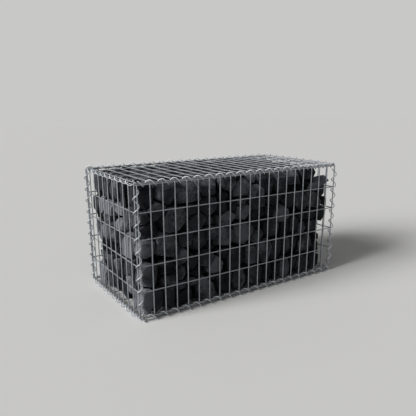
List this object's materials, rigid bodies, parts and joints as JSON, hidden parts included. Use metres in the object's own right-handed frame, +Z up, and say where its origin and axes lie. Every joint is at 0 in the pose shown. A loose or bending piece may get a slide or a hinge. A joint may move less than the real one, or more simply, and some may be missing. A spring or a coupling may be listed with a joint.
{
  "type": "gabion wall",
  "caption": "Free-standing gabion: a box of welded wire mesh laced along its edges with spiral wires and filled with dark broken stone, resting flat on the ground.",
  "frame": {"origin": "on the ground, centred under the basket's outline", "axes": "+X along the basket, -Y is the long side seen in front, +Z up"},
  "size_m": [1.0356, 0.5396, 0.5336],
  "materials": {
    "mesh_wire": "dull galvanised",
    "spiral_wire": "galvanised",
    "stone_fill": "matt broken basalt"
  },
  "bodies": {
    "root": {"base_panel": "mesh_wire", "front_panel": "mesh_wire", "back_panel": "mesh_wire", "left_end_panel": "mesh_wire", "right_end_panel": "mesh_wire", "lid_panel": "mesh_wire", "base_front_spiral": "spiral_wire", "base_back_spiral": "spiral_wire", "base_left_spiral": "spiral_wire", "base_right_spiral": "spiral_wire", "front_left_spiral": "spiral_wire", "front_right_spiral": "spiral_wire", "back_left_spiral": "spiral_wire", "back_right_spiral": "spiral_wire", "lid_front_spiral": "spiral_wire", "lid_back_spiral": "spiral_wire", "lid_left_spiral": "spiral_wire", "lid_right_spiral": "spiral_wire", "stone_fill_lift_1": "stone_fill", "stone_fill_lift_2": "stone_fill", "stone_fill_lift_3": "stone_fill", "stone_fill_lift_4": "stone_fill", "stone_fill_lift_5": "stone_fill"}
  },
  "joints": []
}
